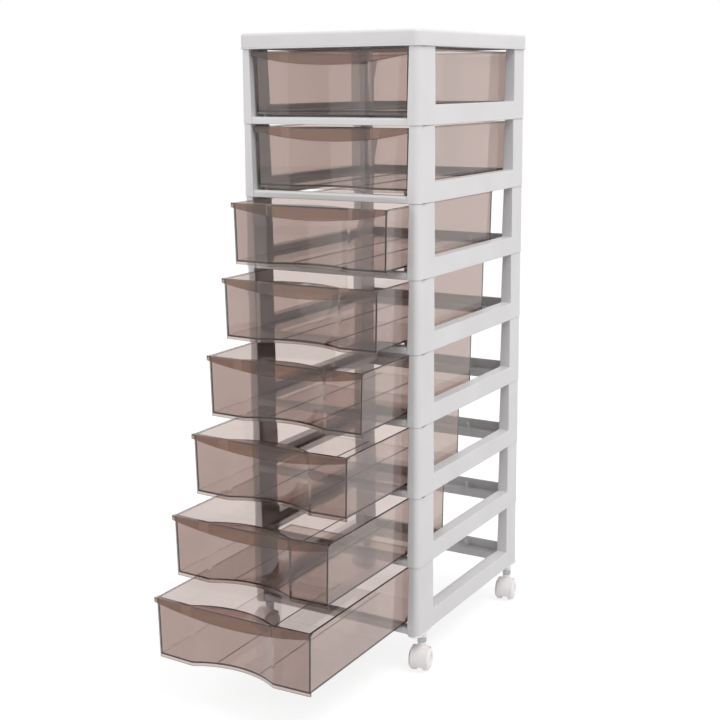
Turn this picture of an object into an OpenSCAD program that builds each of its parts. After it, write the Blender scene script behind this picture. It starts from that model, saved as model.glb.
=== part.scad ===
// Drawer tower on casters: stacked level frames with a top cover and pull-out drawers.
// Origin: middle of the footprint as drawn, on the floor. +Z is up and the drawers open towards -Y.

/* [Tower] */
// Number of levels, each with its own drawer
levels = 8; // [2:1:8]
// Width of a level frame at its foot
frame_w = 264; // [240:1:320]
// Depth of a level frame at its foot
frame_d = 323; // [300:1:380]
// Height of one level
level_h = 95; // [85:1:120]
// How far each outer face leans in from foot to top of a level
outer_draft = 0.9; // [0.3:0.1:2]
// Corner radius of the frames, seen from above
corner_r = 9; // [5:0.5:12]
// Wall thickness of the frame mouldings
frame_wall = 2.2; // [1.6:0.1:2.6]

/* [Posts and rails] */
// Distance from the side of the frame to the drawer bay, at the top of a level
post_t = 14.5; // [13:0.1:18]
// How far the sides of the bay come in at the foot of a level
bay_draft = 2.5; // [0.5:0.1:4]
// Width of the front posts, seen from the side
front_post_w = 44.5; // [35:0.5:60]
// Width of the rear posts, seen from the side
rear_post_w = 39; // [30:0.5:55]
// Height of the side and rear rails
rail_h = 24.5; // [20:0.5:32]
// Height of the front rail
front_rail_h = 9.3; // [7:0.1:10]
// Depth of the front rail, front to back
front_rail_d = 14; // [10:0.5:20]
// How far the front rail stands back from the front of the posts
front_rail_set = 1.5; // [0.5:0.1:4]
// Radius of the rounded top edge of the front rail
front_rail_r = 3.5; // [1:0.1:4]
// Depth of the step along the rear rail
rear_step_d = 17; // [12:0.5:24]
// Height of the step in front of the rear rail
rear_step_h = 11; // [8:0.5:13]
// Width of the ledges that carry the drawers
ledge_w = 12; // [9:0.5:20]
// Height of the lip under the inner edge of each ledge
ledge_lip_h = 7; // [6:0.1:9]
// Height of the tongues that locate a level in the one above
tongue_h = 6; // [4:0.1:8]
// Distance of each drawer stop from the middle of the rear rail
stop_x = 50; // [30:1:80]
// Distance from the middle of the drawer stops to the back of the rear rail
stop_set = 7.8; // [6:0.1:8.4]
// Diameter of a drawer stop
stop_dia = 6; // [4:0.1:7]
// Height of a drawer stop above the step of the rear rail
stop_h = 9; // [6:0.5:14]

/* [Cover] */
// Height of the top cover
cover_h = 20; // [16:0.5:30]
// How far the cover stands out past the level frames on each side
cover_overhang = 0.7; // [0.2:0.1:3]
// Radius of the cover's rounded top edge
cover_edge_r = 4; // [2:0.5:5]
// Wall thickness of the cover
cover_wall = 2.5; // [2:0.1:4]
// Height of the bead along the cover's lower edge
bead_h = 2; // [1:0.1:4]
// How far the bead stands out
bead_t = 0.5; // [0.2:0.1:1.5]

/* [Drawers] */
// How far the front of a closed drawer stands back from the front of the frame
drawer_recess = 5; // [2:0.5:10]
// Side clearance between the bay and the pull of a drawer
drawer_side_gap = 2; // [0.8:0.1:3]
// Gap between the top of a drawer and the top of its level
drawer_top_gap = 3; // [2.5:0.5:10]
// Height of the underside of a drawer's floor above the foot of its level
floor_z = 15.5; // [15.2:0.1:17]
// Height of the lower edge of the front panel above the foot of its level
panel_z = 12; // [11.5:0.1:13]
// Wall thickness of a drawer
drawer_wall = 2; // [1.4:0.1:2.6]
// Thickness of the front panel of a drawer
panel_t = 2.4; // [1.6:0.1:4]
// Lean of a drawer's side walls from floor to rim
drawer_draft = 1.7; // [0.5:0.1:3]
// How far the front panel and the rim stand out past the side walls
panel_overlap = 0.8; // [0.3:0.1:1.2]
// How far the pull stands out past the front panel on each side
pull_overlap = 1.7; // [0.8:0.1:2.5]
// Width of the rim along the top of the sides and the back
rim_w = 3; // [2.8:0.1:4]
// Thickness of the rim
rim_t = 1.6; // [1:0.1:2.5]
// Distance from the pull to the upright creases of the front panel
crease_y = 1.5; // [0.5:0.1:4]
// Distance of each crease from the middle of the front panel
crease_x = 60; // [40:1:75]
// Radius of the creases
crease_r = 10; // [8:1:14]
// How far the ends of the front panel stand back from the creases
end_set_back = 2; // [0.5:0.1:4]
// Depth of the hollow between the creases
hollow_depth = 16; // [6:0.5:22]
// Thickness of the pull
pull_t = 2; // [1.4:0.1:3]
// Height of the pull at its ends
pull_end_h = 6; // [4:0.5:10]
// Height of the pull in the middle
pull_mid_h = 18; // [12:0.5:26]
// Length of the pull's ends, front to back
pull_end_d = 7; // [5:0.5:12]
// Distance of each floor rib from the middle of the drawer
rib_x = 32; // [15:1:60]
// Width of a floor rib
rib_w = 1.6; // [0.8:0.1:3]
// Height of a floor rib
rib_h = 0.8; // [0.4:0.1:2]
// Running gap between a drawer's floor and the ledges
runner_gap = 0.3; // [0.2:0.05:0.5]

/* [Drawer positions] */
// How far drawer 1 is pulled out
drawer_1_out = 0; // [0:0.5:250]
// How far drawer 2 is pulled out
drawer_2_out = 0; // [0:0.5:250]
// How far drawer 3 is pulled out
drawer_3_out = 56; // [0:0.5:250]
// How far drawer 4 is pulled out
drawer_4_out = 80.5; // [0:0.5:250]
// How far drawer 5 is pulled out
drawer_5_out = 117.5; // [0:0.5:250]
// How far drawer 6 is pulled out
drawer_6_out = 154.5; // [0:0.5:250]
// How far drawer 7 is pulled out
drawer_7_out = 199.5; // [0:0.5:250]
// How far drawer 8 is pulled out
drawer_8_out = 240.5; // [0:0.5:250]

/* [Casters] */
// Height of the lowest frame above the floor
caster_h = 55; // [52:0.5:66]
// Radius of a wheel
wheel_r = 15.5; // [13.5:0.5:16.5]
// Width of a wheel
wheel_w = 9.7; // [8.5:0.1:12]
// Radius of the inner edge of a wheel's tread
tread_r = 2; // [0.5:0.1:2.5]
// Width of the domed outer side of a wheel
dome_w = 3.7; // [1:0.1:4.5]
// Radius of the recess in a wheel's outer face
recess_r = 7.5; // [5:0.1:8.5]
// Depth of the recess in a wheel's outer face
recess_d = 1.2; // [0.5:0.1:2]
// Diameter of the axle
axle_dia = 4; // [3:0.1:5]
// Thickness of a wheel over the end of the axle
axle_cap_t = 1.6; // [1:0.1:2.5]
// Thickness of the web between the two wheels
web_t = 8; // [7.5:0.1:10]
// Thickness of the hood over the wheels
hood_t = 1.6; // [1.2:0.1:2.5]
// Gap between the hood and the treads
hood_gap = 0.5; // [0.4:0.1:1]
// How far the ends of the hood stand back from the wheels' outer faces
hood_short = 2.5; // [2.2:0.1:4]
// Height of the lower edge of the hood above the floor
hood_z = 9; // [5:0.5:11]
// How far the hood reaches past the axle on the side of the stem
hood_front = 13; // [12.5:0.5:16]
// Distance from the stem to the axle, seen from above
trail = 6; // [5:0.5:7]
// Turn of the casters about their stems; at half a turn the wheels are in front of the stems
caster_turn = 193; // [150:0.5:210]
// Distance from the front of the frame to the front stems
stem_inset_front = 27; // [18:0.5:35]
// Distance from the back of the frame to the rear stems
stem_inset_back = 19; // [15:0.5:30]
// Diameter of the stem in its socket
stem_dia = 8; // [6:0.1:8.5]
// Diameter of the steel collar on the stem
collar_dia = 12.5; // [10:0.5:14]
// Height of the steel collar
collar_h = 6.2; // [3:0.1:7]
// Diameter of the stem inside the hood
pin_dia = 6; // [5:0.1:6.5]
// Length of the stem inside the hood
pin_l = 10; // [7:0.1:10]
// Diameter of the neck of the hood
neck_dia = 11.5; // [9.5:0.1:12]
// Height of the neck above the top of the hood
neck_h = 4.6; // [3:0.1:6]

/* [Caster sockets] */
// Thickness of the flange under the frame
flange_t = 3; // [2:0.1:3.5]
// Reach of the flange from the stem along the side of the frame
flange_in = 18; // [12:0.5:22]
// How far the flange reaches into the drawer bay
flange_step = 1.5; // [0.5:0.5:6]
// Corner radius of the flange
flange_r = 8; // [4:0.5:8.5]
// How far the rear flanges reach out behind the frame
flange_heel = 4; // [1:0.5:6]
// Diameter of the boss under the flange
boss_dia = 13; // [10.5:0.5:15]
// Diameter of the plug above the flange
plug_dia = 11; // [9.5:0.1:11.5]
// Height of the plug above the flange
plug_h = 8.5; // [6:0.1:8.6]

/* [Fits] */
// Gap round the tongues and plugs where mouldings fit together
plug_gap = 0.25; // [0.15:0.05:0.4]
// Radial running clearance of steel pins in plastic bores
pin_gap = 0.05; // [0.02:0.01:0.1]
// Gap left between parts that turn or slide past each other
part_gap = 0.3; // [0.2:0.05:0.5]

/* [Hidden] */
// Name, side (right is 1) and end (back is 1) of each caster
CORNERS = [
    ["front_left", -1, -1],
    ["front_right", 1, -1],
    ["rear_left", -1, 1],
    ["rear_right", 1, 1]
];

// Roundness of large, middling and small curves
$fn = 96;
middling = 64;
small = 48;
// Overlap that lets a cut or a joined piece run past a face
over = 1;
frame_white = "whitesmoke";
smoke_brown = [0.45, 0.36, 0.31, 0.6];
steel = "silver";
caster_white = "linen";

// Drawer bay, which is narrower at the foot of a level
bay_top = frame_w / 2 - post_t;
bay_foot = bay_top - bay_draft;
top_w = frame_w - 2 * outer_draft;
top_d = frame_d - 2 * outer_draft;
tower_top = caster_h + levels * level_h;

// Slot inside the hollow side walls, which the tongues plug into; it ends where the round corners start
slot_in = bay_top + frame_wall;
slot_out = top_w / 2 - frame_wall;
slot_back = top_d / 2 - max(frame_wall, corner_r - outer_draft);
slot_front = -slot_back;
window_front = -frame_d / 2 + front_post_w;
window_back = frame_d / 2 - rear_post_w;

// Drawers, measured from the foot of their level
rim_z = level_h - drawer_top_gap;
pull_half = bay_top - drawer_side_gap;
panel_top = pull_half - pull_overlap;
side_top = panel_top - panel_overlap;
side_foot = side_top - drawer_draft;
side_slope = drawer_draft / (rim_z - floor_z);
panel_foot = side_foot + panel_overlap - side_slope * (floor_z - panel_z);
ledge_z = floor_z - runner_gap;
end_slope = atan(end_set_back / (panel_top - crease_x));
end_along = [cos(end_slope), sin(end_slope)];
end_back = [-sin(end_slope), cos(end_slope)];
crease_at = [crease_x, crease_y];
hollow_r = (crease_x * crease_x + hollow_depth * hollow_depth) / (2 * hollow_depth);
hollow_mid = [0, crease_y + hollow_depth - hollow_r];
closed_y = -frame_d / 2 + drawer_recess;
peg_y = frame_d / 2 - outer_draft - stop_set;
drawer_l = peg_y - stop_dia / 2 - part_gap - closed_y;
outs = [drawer_1_out, drawer_2_out, drawer_3_out, drawer_4_out,
        drawer_5_out, drawer_6_out, drawer_7_out, drawer_8_out];
used_outs = [for (i = [0 : levels - 1]) outs[i]];

// Casters, whose stems stand in the middle of the side walls' thickness
stem_x = (bay_foot + frame_w / 2) / 2;
stem_front = -frame_d / 2 + stem_inset_front;
stem_back = frame_d / 2 - stem_inset_back;
wheel_in = web_t / 2 + part_gap;
wheel_out = wheel_in + wheel_w;
hood_r = wheel_r + hood_gap + hood_t;
dome_r = sqrt(pow(wheel_r, 2) + pow(wheel_out - dome_w, 2));
neck_z = wheel_r + hood_r + neck_h;
collar_z = neck_z + part_gap;
boss_z = collar_z + collar_h + part_gap;
flange_z = caster_h - flange_t;
axle_hole_d = wheel_w - recess_d - axle_cap_t;

// Middle of the footprint, from the pull that is out furthest to the rear flanges
front_reach = min(-frame_d / 2 - cover_overhang - bead_t, closed_y - max(used_outs));
rear_reach = frame_d / 2 + flange_heel;
origin_y = (front_reach + rear_reach) / 2;

function level_z(i) = caster_h + (levels - i) * level_h;

// Mirrors to the left side when the side is -1
module sided(side) {
    mirror([side > 0 ? 0 : 1, 0, 0]) children();
}

// Box given by its lowest and highest corners
module span(low, high) {
    translate(low) cube(high - low);
}

// Symmetric trapezium between two heights
module trapezium(half_low, half_high, z_low, z_high) {
    polygon([[-half_low, z_low], [half_low, z_low], [half_high, z_high], [-half_high, z_high]]);
}

// Rectangle with round corners, centred
module rounded_rect(w, d, r) {
    square([w - 2 * r, d], center = true);
    square([w, d - 2 * r], center = true);
    for (x = [-w / 2 + r, w / 2 - r], y = [-d / 2 + r, d / 2 - r])
        translate([x, y]) circle(r, $fn = small);
}

// Outline in X and Z, swept from one Y to another
module sweep_y(y_front, y_back) {
    translate([0, y_back, 0]) rotate([90, 0, 0]) linear_extrude(y_back - y_front) children();
}

// Outline in Y and Z, swept over a half width to both sides
module sweep_x(half) {
    translate([-half, 0, 0]) rotate([90, 0, 90]) linear_extrude(2 * half) children();
}

// Block with leaning faces and round corners
module leaning_block() {
    sweep_x(frame_w / 2 - corner_r) trapezium(frame_d / 2, top_d / 2, 0, level_h);
    sweep_y(-frame_d / 2 + corner_r, frame_d / 2 - corner_r) trapezium(frame_w / 2, top_w / 2, 0, level_h);
    for (x = [-1, 1], y = [-1, 1])
        translate([x * (frame_w / 2 - corner_r), y * (frame_d / 2 - corner_r), 0])
            cylinder(r1 = corner_r, r2 = corner_r - outer_draft, h = level_h);
}

// Bay for the drawer, open to the front, the back, above and below
module bay() {
    spread = bay_draft * over / level_h;
    sweep_y(-frame_d, frame_d) trapezium(bay_foot - spread, bay_top + spread, -over, level_h + over);
}

// Space inside a hollow side wall from its open foot to the given height
module slot(y_front, y_back, z_top) {
    span([slot_in, y_front, -over], [slot_out, y_back, z_top]);
}

// Posts and side rails of a level, hollow from below, with a window in each side
module side_walls() {
    post_top = level_h - frame_wall;
    difference() {
        leaning_block();
        bay();
        for (side = [-1, 1]) {
            sided(side) {
                span([bay_foot - over, window_front, rail_h], [frame_w, window_back, level_h + over]);
                slot(slot_front, slot_back, rail_h - frame_wall);
                slot(slot_front, window_front - frame_wall, post_top);
                slot(window_back + frame_wall, slot_back, post_top);
            }
        }
    }
}

// Tongues on the posts, which plug into the slots of the piece above
module tongues() {
    for (side = [-1, 1]) {
        sided(side) {
            span([slot_in + plug_gap, slot_front + plug_gap, level_h - frame_wall],
                 [slot_out - plug_gap, window_front - frame_wall - plug_gap, level_h + tongue_h]);
            span([slot_in + plug_gap, window_back + frame_wall + plug_gap, level_h - frame_wall],
                 [slot_out - plug_gap, slot_back - plug_gap, level_h + tongue_h]);
        }
    }
}

// Front rail, hollow from below, with a round top edge
module front_rail() {
    front = -frame_d / 2 + front_rail_set;
    inside_h = front_rail_h - front_rail_r;
    sweep_x(bay_foot + over) difference() {
        union() {
            translate([front + front_rail_r, inside_h]) circle(front_rail_r, $fn = middling);
            translate([front, 0]) square([front_rail_d, inside_h]);
            translate([front + front_rail_r, 0]) square([front_rail_d - front_rail_r, front_rail_h]);
        }
        translate([front + frame_wall, -over])
            square([front_rail_d - 2 * frame_wall, inside_h - frame_wall + over]);
    }
}

// Rear rail: an upright wall with a hollow step in front of it
module rear_rail() {
    back = frame_d / 2 - outer_draft;
    sweep_x(bay_foot + over) difference() {
        union() {
            translate([back - frame_wall, 0]) square([frame_wall, rail_h]);
            translate([back - rear_step_d, 0]) square([rear_step_d, rear_step_h]);
        }
        translate([back - rear_step_d + frame_wall, -over])
            square([rear_step_d - 2 * frame_wall, rear_step_h - frame_wall + over]);
    }
}

// Ledges that the drawers slide on, from the front rail to the rear step
module ledges() {
    y_front = -frame_d / 2 + front_rail_set + front_rail_d - frame_wall / 2;
    y_back = frame_d / 2 - outer_draft - rear_step_d + frame_wall / 2;
    for (side = [-1, 1]) {
        sided(side) {
            span([bay_foot - ledge_w, y_front, ledge_z - frame_wall], [bay_foot + over, y_back, ledge_z]);
            span([bay_foot - ledge_w, y_front, ledge_z - ledge_lip_h],
                 [bay_foot - ledge_w + frame_wall, y_back, ledge_z]);
        }
    }
}

// Pegs on the rear step that a closed drawer comes up against
module drawer_stops() {
    for (x = [-stop_x, stop_x])
        translate([x, peg_y, rear_step_h - frame_wall / 2]) cylinder(d = stop_dia, h = stop_h + frame_wall / 2);
}

// Runs its children at each of the four stems
module at_stems() {
    for (x = [-stem_x, stem_x], y = [stem_front, stem_back])
        translate([x, y, 0]) children();
}

// Level frame; the lowest one also has round bosses inside its walls that hold the caster sockets
module level_frame(i) {
    hole_dia = plug_dia + 2 * plug_gap;
    color(frame_white) translate([0, 0, level_z(i)]) difference() {
        union() {
            side_walls();
            tongues();
            front_rail();
            rear_rail();
            ledges();
            drawer_stops();
            if (i == levels)
                at_stems() cylinder(d = hole_dia + 2 * frame_wall, h = ledge_z);
        }
        if (i == levels)
            at_stems() translate([0, 0, -over]) cylinder(d = hole_dia, h = plug_h + part_gap + over);
    }
}

// Outline of one side of the cover, with the round top edge
module cover_outline(half) {
    square_h = cover_h - cover_edge_r;
    translate([-half, 0]) square([2 * half, square_h]);
    translate([-half + cover_edge_r, 0]) square([2 * (half - cover_edge_r), cover_h]);
    for (x = [-half + cover_edge_r, half - cover_edge_r])
        translate([x, square_h]) circle(cover_edge_r, $fn = middling);
}

module top_cover() {
    w = frame_w + 2 * cover_overhang;
    d = frame_d + 2 * cover_overhang;
    r = corner_r + cover_overhang;
    inside_h = cover_h - cover_wall;
    color(frame_white) translate([0, 0, tower_top]) difference() {
        union() {
            sweep_x(w / 2 - r) cover_outline(d / 2);
            sweep_y(-d / 2 + r, d / 2 - r) cover_outline(w / 2);
            for (x = [-w / 2 + r, w / 2 - r], y = [-d / 2 + r, d / 2 - r])
                translate([x, y, 0]) rotate_extrude() intersection() {
                    cover_outline(r);
                    square([r, cover_h]);
                }
            linear_extrude(bead_h) rounded_rect(w + 2 * bead_t, d + 2 * bead_t, r + bead_t);
        }
        span([-bay_top, -d / 2 + cover_wall, -over], [bay_top, d / 2 - cover_wall, inside_h]);
        for (side = [-1, 1])
            sided(side) slot(slot_front, slot_back, inside_h);
    }
}

// Sharp point of the right crease, cut off by the round that touches the flat end and the hollow
module crease_point() {
    start = crease_at + crease_r * end_back - hollow_mid;
    across = start * end_along;
    run = sqrt(across * across - start * start + pow(hollow_r + crease_r, 2)) - across;
    round_mid = hollow_mid + start + run * end_along;
    to_hollow = (hollow_mid - round_mid) / (hollow_r + crease_r);
    difference() {
        polygon([
            round_mid, round_mid - (crease_r + over) * end_back,
            crease_at - [0, 2 * over], round_mid + (crease_r + over) * to_hollow
        ]);
        translate(round_mid) circle(crease_r);
    }
}

// Plan of all that lies behind the face of a drawer's front panel
module behind_panel() {
    reach = pull_half + over;
    end_y = crease_y + (reach - crease_x) * tan(end_slope);
    difference() {
        polygon([
            [-reach, end_y], [-crease_x, crease_y], [crease_x, crease_y], [reach, end_y],
            [reach, drawer_l], [-reach, drawer_l]
        ]);
        translate(hollow_mid) circle(hollow_r);
        for (side = [-1, 1])
            sided(side) crease_point();
    }
}

// Side walls and floor of a drawer as one channel, with the rim along its edges
module drawer_channel() {
    inner_foot = side_foot - drawer_wall + side_slope * drawer_wall;
    rim_half = side_top + panel_overlap;
    sweep_y(0, drawer_l) difference() {
        union() {
            trapezium(side_foot, side_top, floor_z, rim_z);
            translate([-rim_half, rim_z - rim_t]) square([2 * rim_half, rim_t]);
        }
        trapezium(inner_foot, side_top - drawer_wall + side_slope * over,
                  floor_z + drawer_wall, rim_z + over);
    }
}

// Back wall with its rim
module drawer_back() {
    sweep_y(drawer_l - drawer_wall, drawer_l) trapezium(side_foot, side_top, floor_z, rim_z);
    span([-side_top, drawer_l - rim_w, rim_z - rim_t], [side_top, drawer_l, rim_z]);
}

// Front panel: two flat ends and a hollow between upright creases
module front_panel() {
    intersection() {
        translate([0, 0, panel_z]) linear_extrude(rim_z - panel_z) difference() {
            behind_panel();
            translate([0, panel_t]) behind_panel();
        }
        sweep_y(0, drawer_l) trapezium(panel_foot, panel_top, panel_z, rim_z);
    }
}

// Pull: a ledge along the rim and a lip whose lower edge is one long curve
module pull() {
    drop = pull_mid_h - pull_end_h;
    lip_r = (pull_half * pull_half + drop * drop) / (2 * drop);
    translate([0, 0, rim_z - pull_t]) linear_extrude(pull_t) {
        difference() {
            translate([-panel_top, 0]) square([2 * panel_top, crease_y + hollow_depth + panel_t / 2]);
            translate([0, panel_t / 2]) behind_panel();
        }
        for (x = [-pull_half, panel_top - over])
            translate([x, 0]) square([pull_half - panel_top + over, pull_end_d]);
    }
    sweep_y(0, pull_t) intersection() {
        translate([-pull_half, rim_z - pull_mid_h]) square([2 * pull_half, pull_mid_h]);
        translate([0, rim_z - pull_mid_h + lip_r]) circle(lip_r);
    }
}

// Ribs along the inside of the floor
module floor_ribs() {
    for (side = [-1, 1]) {
        sided(side)
            span([rib_x - rib_w / 2, crease_y + hollow_depth, floor_z + drawer_wall / 2],
                 [rib_x + rib_w / 2, drawer_l - drawer_wall / 2, floor_z + drawer_wall + rib_h]);
    }
}

module drawer(i) {
    color(smoke_brown) translate([0, closed_y - outs[i - 1], level_z(i)]) {
        intersection() {
            drawer_channel();
            linear_extrude(level_h) behind_panel();
        }
        drawer_back();
        front_panel();
        pull();
        floor_ribs();
    }
}

// Moves to the stem of a corner
module at_stem(corner) {
    translate([corner[1] * stem_x, corner[2] > 0 ? stem_back : stem_front, 0]) children();
}

// Moves to the swivelling part of a corner's caster; the left ones mirror the right ones
module at_swivel(corner) {
    at_stem(corner) sided(corner[1]) rotate([0, 0, caster_turn]) children();
}

// Moves to the middle of the axle and turns +Z along it
module on_axle() {
    translate([0, trail, wheel_r]) rotate([0, 90, 0]) children();
}

// Socket: a plug inside the lowest frame, with a flange and a boss below
module caster_socket(corner) {
    reach_out = frame_w / 2 - stem_x - plug_gap;
    reach_in = stem_x - bay_foot + flange_step;
    reach_end = corner[2] > 0 ? stem_inset_back + flange_heel : stem_inset_front - plug_gap;
    color(caster_white) at_stem(corner) difference() {
        union() {
            translate([corner[1] * (reach_out - reach_in) / 2, corner[2] * (reach_end - flange_in) / 2, flange_z])
                linear_extrude(flange_t) rounded_rect(reach_out + reach_in, reach_end + flange_in, flange_r);
            translate([0, 0, boss_z]) cylinder(d = boss_dia, h = flange_z + flange_t / 2 - boss_z);
            translate([0, 0, flange_z + flange_t / 2]) cylinder(d = plug_dia, h = plug_h + flange_t / 2);
        }
        cylinder(d = stem_dia + 2 * pin_gap, h = 2 * caster_h);
    }
}

// Stem: a steel pin fixed in the socket, with a collar above the hood
module caster_stem(corner) {
    color(steel) at_stem(corner) {
        translate([0, 0, neck_z - pin_l]) cylinder(d = pin_dia, h = pin_l + part_gap + collar_h / 2);
        translate([0, 0, collar_z]) cylinder(d = collar_dia, h = collar_h);
        translate([0, 0, collar_z + collar_h / 2])
            cylinder(d = stem_dia, h = caster_h + plug_h - collar_z - collar_h / 2);
    }
}

// Barrel round the axle with domed ends
module hood_barrel() {
    on_axle() intersection() {
        cylinder(r = hood_r, h = 2 * (wheel_out - hood_short), center = true);
        sphere(dome_r + hood_gap + hood_t);
    }
}

// Hood over both wheels, with the web that carries the axle and the neck that turns on the stem
module caster_hood(corner) {
    hole_z = neck_z - pin_l - part_gap;
    color(caster_white) at_swivel(corner) difference() {
        union() {
            intersection() {
                hood_barrel();
                span([-2 * hood_r, trail - hood_front, hood_z], [2 * hood_r, trail + 2 * hood_r, 3 * hood_r]);
            }
            translate([0, 0, hole_z]) cylinder(d = neck_dia, h = neck_z - hole_z);
        }
        for (z = [web_t / 2, -web_t / 2 - 2 * wheel_w])
            on_axle() translate([0, 0, z]) cylinder(r = wheel_r + hood_gap, h = 2 * wheel_w);
        translate([0, 0, hole_z]) cylinder(d = pin_dia + 2 * pin_gap, h = hood_r + pin_l);
        on_axle() cylinder(d = axle_dia, h = 2 * web_t, center = true);
    }
}

module caster_axle(corner) {
    color(steel) at_swivel(corner) on_axle()
        cylinder(d = axle_dia, h = 2 * (wheel_in + axle_hole_d - part_gap), center = true);
}

// Outline of half a wheel, from its inner face: a domed outer side with a recess in it
module wheel_outline() {
    difference() {
        intersection() {
            union() {
                square([wheel_r - tread_r, wheel_w]);
                translate([0, tread_r]) square([wheel_r, wheel_w - tread_r]);
                translate([wheel_r - tread_r, tread_r]) circle(tread_r, $fn = small);
            }
            translate([0, -wheel_in]) circle(dome_r);
        }
        translate([0, wheel_w - recess_d]) square([recess_r, 2 * recess_d]);
        translate([0, -over]) square([axle_dia / 2 + pin_gap, axle_hole_d + over]);
    }
}

module caster_wheel(corner, side) {
    color(caster_white) at_swivel(corner) on_axle()
        mirror([0, 0, side > 0 ? 0 : 1]) translate([0, 0, wheel_in]) rotate_extrude() wheel_outline();
}

translate([0, -origin_y, 0]) {
    top_cover();
    for (i = [1 : levels]) {
        level_frame(i);
        drawer(i);
    }
    for (corner = CORNERS) {
        caster_socket(corner);
        caster_stem(corner);
        caster_hood(corner);
        caster_axle(corner);
        caster_wheel(corner, 1);
        caster_wheel(corner, -1);
    }
}
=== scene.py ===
"""Drawer tower: white moulded level frames, smoked see-through drawers and zinc-plated caster stems."""
import math

import bpy
from mathutils import Matrix, Vector


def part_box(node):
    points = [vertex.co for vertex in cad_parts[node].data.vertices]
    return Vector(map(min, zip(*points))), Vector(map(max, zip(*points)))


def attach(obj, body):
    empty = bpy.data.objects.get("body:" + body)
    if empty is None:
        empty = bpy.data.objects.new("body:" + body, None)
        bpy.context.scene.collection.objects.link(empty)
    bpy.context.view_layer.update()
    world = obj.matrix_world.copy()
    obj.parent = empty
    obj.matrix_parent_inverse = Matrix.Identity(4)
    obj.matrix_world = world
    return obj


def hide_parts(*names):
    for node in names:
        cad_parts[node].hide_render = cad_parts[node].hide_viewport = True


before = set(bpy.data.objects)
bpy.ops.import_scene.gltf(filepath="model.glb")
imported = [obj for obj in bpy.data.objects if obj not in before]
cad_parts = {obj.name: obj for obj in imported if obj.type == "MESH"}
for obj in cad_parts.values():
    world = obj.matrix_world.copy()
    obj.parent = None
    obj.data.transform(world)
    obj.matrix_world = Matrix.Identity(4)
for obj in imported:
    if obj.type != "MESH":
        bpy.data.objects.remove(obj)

MM = 0.001
LEVELS = range(1, 9)
CORNERS = ("front_left", "front_right", "rear_left", "rear_right")

# Radii of the edges that the mould leaves on each kind of piece
FRAME_EDGE = 0.8 * MM
COVER_EDGE = 0.45 * MM
DRAWER_EDGE = 0.45 * MM
CASTER_EDGE = 0.35 * MM

# Only edges sharper than this get such a radius, and the shading breaks at them
SHARP = math.radians(30)
EDGE_SEGMENTS = 3

# Points this near are one, cuts snap to points this near, and faces that turn by less than FLAT are one
MERGE_WITHIN = 0.002 * MM
CUT_WITHIN = 0.001 * MM
FLAT = math.radians(0.4)

# Front panel of a drawer: how far behind the pull it can lie, and how far behind it the lip's face ends
PANEL_DEPTH = 20 * MM
LIP_DEPTH = 0.3 * MM

# A face looks forwards where its normal's y is below this
FORWARDS = -0.5

# Painted shade in the front panel and in the lip, from 0 for the walls to 1, and the attribute that
# carries it: it makes the front darker than the walls and the lip darkest
PANEL_PAINTED_SHADE = 0.38
LIP_PAINTED_SHADE = 1.0
PAINTED_SHADE_ATTRIBUTE = "dye_and_painted_shade"

# Refractive indices of the white plastics and of the clear polystyrene
IOR_WHITE = 1.49
IOR_CLEAR = 1.59

# A wave texture turns by this many radians over one unit of its scale
WAVE_TURN = 20

# A noise texture's values mostly lie between these
NOISE_LOW = 0.3
NOISE_HIGH = 0.7

# Light crosses up to four drawers, two faces to a wall
BOUNCES = 32

WHITE = [1.0, 1.0, 1.0, 1.0]

# Softboxes: place from the lowest level's foot and side in metres, and power in watts
SOFTBOXES = {
    "softbox_right": {"offset": (1.3, -0.5, 2.6), "size": 1.6, "watts": 38.0},
    "softbox_left": {"offset": (-1.7, -1.5, 1.1), "size": 2.4, "watts": 12.0},
}
AIM_HEIGHT = 0.38

# Room round the tower: brightness that shows, and brightness that lights
ROOM_SEEN = 1.0
ROOM_LIT = 0.66

# Floor: grey and glow that show, grey that sends light back up, and its side in metres
FLOOR_SEEN = 0.3
FLOOR_GLOW = 0.81
FLOOR_LIT = 0.8
FLOOR_SIDE = 40.0

# Camera: degrees round to the right, up and rolled; aim from the level's foot and distance in metres
AZIMUTH = 30.56
ELEVATION = 12.28
ROLL = -0.467
AIM = (-0.0490, 0, 0.3255)
DISTANCE = 1.8502

# Sensor width and focal length in millimetres, and what is nearest and furthest in view in metres
SENSOR = 36.0
FOCAL = 64.125
NEAREST = 0.05
FURTHEST = 100.0

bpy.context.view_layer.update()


# ---------------------------------------------------------------- materials

def linear(hex_colour):
    """Linear colour of an sRGB hex value."""
    parts = [int(hex_colour[i:i + 2], 16) / 255 for i in (1, 3, 5)]
    return [c / 12.92 if c <= 0.04045 else ((c + 0.055) / 1.055) ** 2.4 for c in parts] + [1.0]


def grey(level):
    """Neutral colour of a linear level."""
    return [level, level, level, 1.0]


def patches(size):
    """Scale of a noise texture whose patches are this many millimetres long."""
    return 1 / (size * MM)


def bands(spacing):
    """Scale of a wave texture whose bands are this many millimetres apart."""
    return math.tau / (WAVE_TURN * spacing * MM)


def add(tree, kind, inputs=None, **settings):
    """Adds a node with its settings, and fills its inputs with values or with other nodes' outputs."""
    made = tree.nodes.new(kind)
    for name, value in settings.items():
        setattr(made, name, value)
    for name, value in (inputs or {}).items():
        if isinstance(value, bpy.types.NodeSocket):
            tree.links.new(value, made.inputs[name])
        else:
            made.inputs[name].default_value = value
    return made


def new_material(name):
    """Empty material with its output, and the object coordinates that its patterns follow."""
    material = bpy.data.materials.new(name)
    material.use_nodes = True
    tree = material.node_tree
    tree.nodes.clear()
    output = add(tree, "ShaderNodeOutputMaterial")
    place = add(tree, "ShaderNodeTexCoord").outputs["Object"]
    return material, tree, output, place


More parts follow.
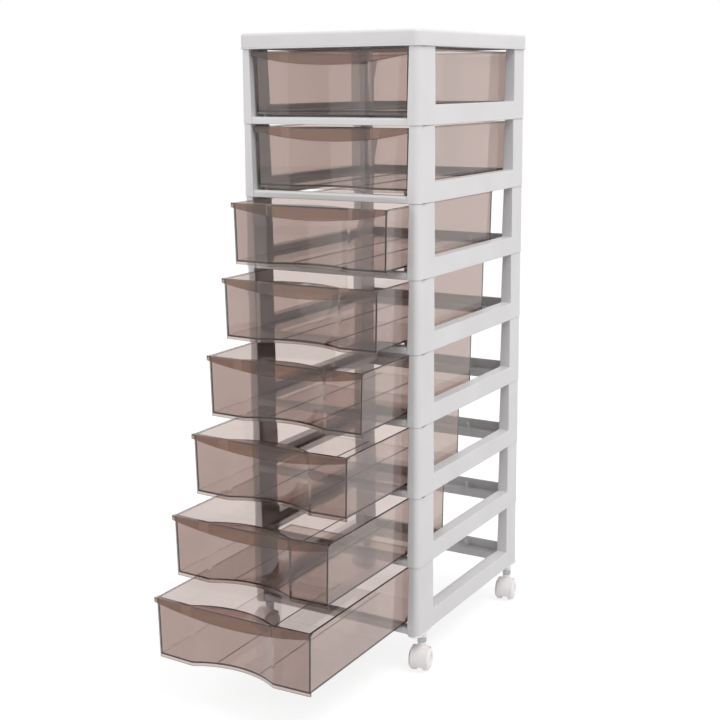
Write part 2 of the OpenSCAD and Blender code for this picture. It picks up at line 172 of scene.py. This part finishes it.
def mottled(tree, place, size, low, high):
    """Value that wanders between low and high over patches of this many millimetres."""
    noise = add(tree, "ShaderNodeTexNoise", {"Vector": place, "Scale": patches(size), "Detail": 2.0})
    return add(tree, "ShaderNodeMapRange", {
        "Value": noise.outputs["Fac"], "From Min": NOISE_LOW, "From Max": NOISE_HIGH,
        "To Min": low, "To Max": high,
    }).outputs["Result"]


def moulded_white(name, hex_light, hex_dark, roughness, grain):
    """White thermoplastic from a spark-eroded mould: an even satin skin with a very fine grain."""
    material, tree, output, place = new_material(name)
    # The colour drifts by about a percent over a hand's width, as the melt cools unevenly
    blend = mottled(tree, place, 71.4, 0.0, 1.0)
    colour = add(tree, "ShaderNodeMix", {
        "Factor": blend, "A": linear(hex_light), "B": linear(hex_dark)}, data_type="RGBA")
    # Spark-eroded grain is about 0.1 mm; it is drawn at 0.8 mm, so that it shows at all
    pits = add(tree, "ShaderNodeTexNoise", {"Vector": place, "Scale": patches(0.8), "Detail": 1.0})
    bump = add(tree, "ShaderNodeBump", {
        "Strength": grain, "Distance": 0.05 * MM, "Height": pits.outputs["Fac"]})
    shader = add(tree, "ShaderNodeBsdfPrincipled", {
        "Base Color": colour.outputs["Result"],
        "Roughness": mottled(tree, place, 16.7, roughness - 0.04, roughness + 0.04),
        "IOR": IOR_WHITE,
        "Normal": bump.outputs["Normal"],
    })
    tree.links.new(shader.outputs["BSDF"], output.inputs["Surface"])
    return material


def smoked_polystyrene():
    """Clear polystyrene with brown dye: a glassy skin, and a colour that deepens with thickness."""
    material, tree, output, place = new_material("smoked_polystyrene_moulded_clear")
    # The melt's flow leaves slow waves, tens of millimetres long, that bend what lies behind the walls
    waves = add(tree, "ShaderNodeTexNoise", {"Vector": place, "Scale": patches(35.7), "Detail": 1.0})
    bump = add(tree, "ShaderNodeBump", {
        "Strength": 0.2, "Distance": 0.3 * MM, "Height": waves.outputs["Fac"]})
    # Painted shade: the front panel is made darker than the walls, and the pull's lip darkest, a darker
    # crescent for the light lost through the pull's folded layers
    painted_shade = add(tree, "ShaderNodeAttribute", attribute_name=PAINTED_SHADE_ATTRIBUTE)
    tint_with_painted_shade = add(tree, "ShaderNodeMix", {
        "Factor": painted_shade.outputs["Fac"],
        "A": linear("#F8F5F4"), "B": linear("#9A765E")}, data_type="RGBA")
    shader = add(tree, "ShaderNodeBsdfPrincipled", {
        "Base Color": tint_with_painted_shade.outputs["Result"],
        "Roughness": mottled(tree, place, 22.2, 0.0, 0.03),
        "IOR": IOR_CLEAR,
        # The rest is haze in the melt, which gives the walls a little body of their own
        "Transmission Weight": 0.98,
        "Normal": bump.outputs["Normal"],
    })
    tree.links.new(shader.outputs["BSDF"], output.inputs["Surface"])
    # Two millimetres of wall let through about 78, 71 and 68 % of red, green and blue
    dye_and_painted_shade = add(tree, "ShaderNodeVolumeAbsorption", {"Color": linear("#9E5700"), "Density": 191.0})
    tree.links.new(dye_and_painted_shade.outputs["Volume"], output.inputs["Volume"])
    return material


def zinc_plated_steel():
    """Turned steel with bright zinc plating: mirror-like, with darker rings of painted shade that stand
    for the grooves.
    """
    material, tree, output, place = new_material("zinc_plated_turned_steel")
    painted_groove_shade = add(tree, "ShaderNodeTexWave", {"Vector": place, "Scale": bands(1.5)}, bands_direction="Z")
    # Painted shade: the troughs of the wave are darker rings for the shade in the grooves, and all above
    # 0.45 is the bright land between them
    depth = add(tree, "ShaderNodeMapRange", {
        "Value": painted_groove_shade.outputs["Fac"], "From Min": 0.05, "From Max": 0.45}).outputs["Result"]
    colour = add(tree, "ShaderNodeMix", {
        "Factor": depth, "A": linear("#4E5257"), "B": linear("#C3C7CA")}, data_type="RGBA")
    # The lathe's own rings are about 0.1 mm apart; they are drawn at 0.5 mm, so that they show at all
    rings = add(tree, "ShaderNodeTexWave", {
        "Vector": place, "Scale": bands(0.5), "Distortion": 0.6}, bands_direction="Z")
    bump = add(tree, "ShaderNodeBump", {
        "Strength": 0.2, "Distance": 0.03 * MM, "Height": rings.outputs["Fac"]})
    shader = add(tree, "ShaderNodeBsdfPrincipled", {
        "Base Color": colour.outputs["Result"],
        "Metallic": 1.0,
        "Roughness": mottled(tree, place, 3.33, 0.12, 0.24),
        "Normal": bump.outputs["Normal"],
    })
    tree.links.new(shader.outputs["BSDF"], output.inputs["Surface"])
    return material


frame_white = moulded_white("white_polypropylene_moulded_satin", "#DCDADB", "#D7D5D6", 0.42, 0.10)
caster_white = moulded_white("white_nylon_moulded_satin", "#F6F2F2", "#F0ECEC", 0.38, 0.08)
smoked = smoked_polystyrene()
zinc = zinc_plated_steel()


# ------------------------------------------------------------------- pieces

def only(piece):
    """Leaves just this piece selected and active."""
    bpy.ops.object.select_all(action="DESELECT")
    piece.select_set(True)
    bpy.context.view_layer.objects.active = piece


def cut_through(axis, place):
    """Cuts the mesh at a plane across an axis, and marks the cut as a seam."""
    point = Vector((0, 0, 0))
    point[axis] = place
    normal = Vector((0, 0, 0))
    normal[axis] = 1
    bpy.ops.mesh.select_all(action="SELECT")
    bpy.ops.mesh.bisect(plane_co=point, plane_no=normal, threshold=CUT_WITHIN)
    bpy.ops.mesh.mark_seam()


def moulded_piece(name, node, edge, material):
    """Copy of a solid, merged into whole faces, with the small round edges that a mould leaves."""
    piece = bpy.data.objects.new(name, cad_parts[node].data.copy())
    bpy.context.scene.collection.objects.link(piece)
    piece.data.name = name
    only(piece)
    bpy.ops.object.mode_set(mode="EDIT")
    bpy.ops.mesh.select_mode(type="EDGE")
    bpy.ops.mesh.select_all(action="SELECT")
    bpy.ops.mesh.remove_doubles(threshold=MERGE_WITHIN)
    bpy.ops.mesh.customdata_custom_splitnormals_clear()
    # Cut at its middle planes first, so that no whole face runs right round an opening
    low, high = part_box(node)
    for axis in range(3):
        cut_through(axis, (low[axis] + high[axis]) / 2)
    bpy.ops.mesh.select_all(action="SELECT")
    bpy.ops.mesh.dissolve_limited(angle_limit=FLAT, delimit={"SEAM"})
    bpy.ops.object.mode_set(mode="OBJECT")
    bpy.ops.object.shade_smooth_by_angle(angle=SHARP)
    bevel = piece.modifiers.new("moulded edges", "BEVEL")
    bevel.width = edge
    bevel.segments = EDGE_SEGMENTS
    bevel.limit_method = "ANGLE"
    bevel.angle_limit = SHARP
    bevel.miter_outer = "MITER_ARC"
    bevel.harden_normals = True
    bevel.use_clamp_overlap = False
    bpy.ops.object.modifier_apply(modifier=bevel.name)
    piece.data.materials.clear()
    piece.data.materials.append(material)
    return piece


def copy_of(piece, name, shift):
    """Copy with its own mesh, moved by a distance."""
    copy = piece.copy()
    copy.data = piece.data.copy()
    copy.name = copy.data.name = name
    copy.data.transform(Matrix.Translation(shift))
    bpy.context.scene.collection.objects.link(copy)
    return copy


def stands_for(piece, node, body):
    """Puts a piece in a solid's place, on its body."""
    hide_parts(node)
    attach(piece, body)


def paint_front_shade(piece, node):
    """Marks painted shade on the outer face of the front panel, darker than the walls, and darkest on
    the lip's face.
    """
    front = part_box(node)[0].y
    painted_shade = piece.data.attributes.new(PAINTED_SHADE_ATTRIBUTE, "FLOAT", "FACE").data
    for face in piece.data.polygons:
        depth = face.center.y - front
        if face.normal.y < FORWARDS and depth < PANEL_DEPTH:
            painted_shade[face.index].value = LIP_PAINTED_SHADE if depth < LIP_DEPTH else PANEL_PAINTED_SHADE


def series(names, nodes, bodies, edge, material, dress=None):
    """Makes the first piece, and copies it to where each of the other solids is."""
    first = moulded_piece(names[0], nodes[0], edge, material)
    if dress:
        dress(first, nodes[0])
    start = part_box(nodes[0])[0]
    pieces = [first] + [
        copy_of(first, name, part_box(node)[0] - start) for name, node in zip(names[1:], nodes[1:])]
    for piece, node, body in zip(pieces, nodes, bodies):
        stands_for(piece, node, body)


cover = moulded_piece("cover_slab", "top_cover", COVER_EDGE, frame_white)
stands_for(cover, "top_cover", "tower")

upper = list(LEVELS)[:-1]
series([f"white_level_{i}" for i in upper], [f"level_{i}_frame" for i in upper],
       ["tower"] * len(upper), FRAME_EDGE, frame_white)
series(["white_level_8"], ["level_8_frame"], ["tower"], FRAME_EDGE, frame_white)
# The drawers' front panels and lips get painted shade that darkens them
series([f"smoked_drawer_{i}" for i in LEVELS], [f"drawer_{i}" for i in LEVELS],
       [f"sliding_drawer_{i}" for i in LEVELS], DRAWER_EDGE, smoked, paint_front_shade)

for corner in CORNERS:
    for kind, body, slot, material in (
            ("socket", "tower", "caster_plastic", caster_white),
            ("stem", "tower", "zinc_steel", zinc),
            ("hood", f"swivel_{corner}", "caster_plastic", caster_white),
            ("axle", f"swivel_{corner}", "zinc_steel", zinc),
            ("inner_wheel", f"inner_wheel_{corner}", "caster_plastic", caster_white),
            ("outer_wheel", f"outer_wheel_{corner}", "caster_plastic", caster_white)):
        series([f"{kind}_of_{corner}"], [f"caster_{kind}_{corner}"], [body],
               CASTER_EDGE, material)


# ------------------------------------------------------- floor, light, camera

# Middle of the lowest level frame, at its foot: the lights and the camera are placed from it
low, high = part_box("level_8_frame")
foot = Vector(((low.x + high.x) / 2, (low.y + high.y) / 2, low.z))


def shown_white(tree, output, seen, lit):
    """Joins the shader that the camera, gloss and clear plastic show with the one that gives light."""
    path = add(tree, "ShaderNodeLightPath").outputs
    gloss = add(tree, "ShaderNodeMath", {0: path["Is Camera Ray"], 1: path["Is Glossy Ray"]},
                operation="MAXIMUM").outputs["Value"]
    clear = add(tree, "ShaderNodeMath", {0: gloss, 1: path["Is Transmission Ray"]},
                operation="MAXIMUM").outputs["Value"]
    mix = add(tree, "ShaderNodeMixShader", {"Fac": clear, 1: lit, 2: seen})
    tree.links.new(mix.outputs["Shader"], output.inputs["Surface"])


def studio_floor():
    """Pale floor that runs out into the white background and keeps the tower's shadow."""
    bpy.ops.object.select_all(action="DESELECT")
    bpy.ops.mesh.primitive_plane_add(size=FLOOR_SIDE, location=(0, 0, 0))
    floor = bpy.context.active_object
    floor.name = "studio_floor"
    material, tree, output, _ = new_material("studio_floor_paper")
    paper = add(tree, "ShaderNodeBsdfDiffuse", {"Color": grey(FLOOR_SEEN)})
    glow = add(tree, "ShaderNodeEmission", {"Color": WHITE, "Strength": FLOOR_GLOW})
    seen = add(tree, "ShaderNodeAddShader", {0: paper.outputs["BSDF"], 1: glow.outputs["Emission"]})
    lit = add(tree, "ShaderNodeBsdfDiffuse", {"Color": grey(FLOOR_LIT)})
    shown_white(tree, output, seen.outputs["Shader"], lit.outputs["BSDF"])
    floor.data.materials.append(material)


def studio_world():
    """White surroundings for the eye and for gloss, and a softer level for the light they give."""
    world = bpy.data.worlds.new("studio")
    bpy.context.scene.world = world
    world.use_nodes = True
    tree = world.node_tree
    tree.nodes.clear()
    output = add(tree, "ShaderNodeOutputWorld")
    seen = add(tree, "ShaderNodeBackground", {"Color": WHITE, "Strength": ROOM_SEEN})
    lit = add(tree, "ShaderNodeBackground", {"Color": WHITE, "Strength": ROOM_LIT})
    shown_white(tree, output, seen.outputs["Background"], lit.outputs["Background"])


def softbox(name, offset, size, watts):
    """Square area lamp, aimed at the middle of the tower."""
    lamp = bpy.data.lights.new(name, "AREA")
    lamp.size = size
    lamp.energy = watts
    holder = bpy.data.objects.new(name, lamp)
    bpy.context.scene.collection.objects.link(holder)
    middle = foot + Vector((0, 0, AIM_HEIGHT))
    holder.location = foot + Vector(offset)
    holder.rotation_euler = (middle - holder.location).to_track_quat("-Z", "Y").to_euler()


def camera():
    """Camera that looks slightly down on the tower from the front right."""
    azimuth, elevation, roll = (math.radians(angle) for angle in (AZIMUTH, ELEVATION, ROLL))
    target = foot + Vector(AIM)
    back = Vector((math.sin(azimuth) * math.cos(elevation),
                   -math.cos(azimuth) * math.cos(elevation),
                   math.sin(elevation)))
    right = (-back).cross(Vector((0, 0, 1))).normalized()
    up = right.cross(-back)
    turned_right = math.cos(roll) * right + math.sin(roll) * up
    turned_up = math.cos(roll) * up - math.sin(roll) * right
    lens = bpy.data.cameras.new("camera")
    lens.sensor_width = SENSOR
    lens.lens = FOCAL
    lens.clip_start = NEAREST
    lens.clip_end = FURTHEST
    holder = bpy.data.objects.new("camera", lens)
    bpy.context.scene.collection.objects.link(holder)
    matrix = Matrix((turned_right, turned_up, back)).transposed().to_4x4()
    matrix.translation = target + back * DISTANCE
    holder.matrix_world = matrix
    bpy.context.scene.camera = holder


studio_floor()
studio_world()
for name, settings in SOFTBOXES.items():
    softbox(name, **settings)
camera()

scene = bpy.context.scene
scene.view_settings.view_transform = "Standard"
scene.cycles.max_bounces = BOUNCES
scene.cycles.transmission_bounces = BOUNCES
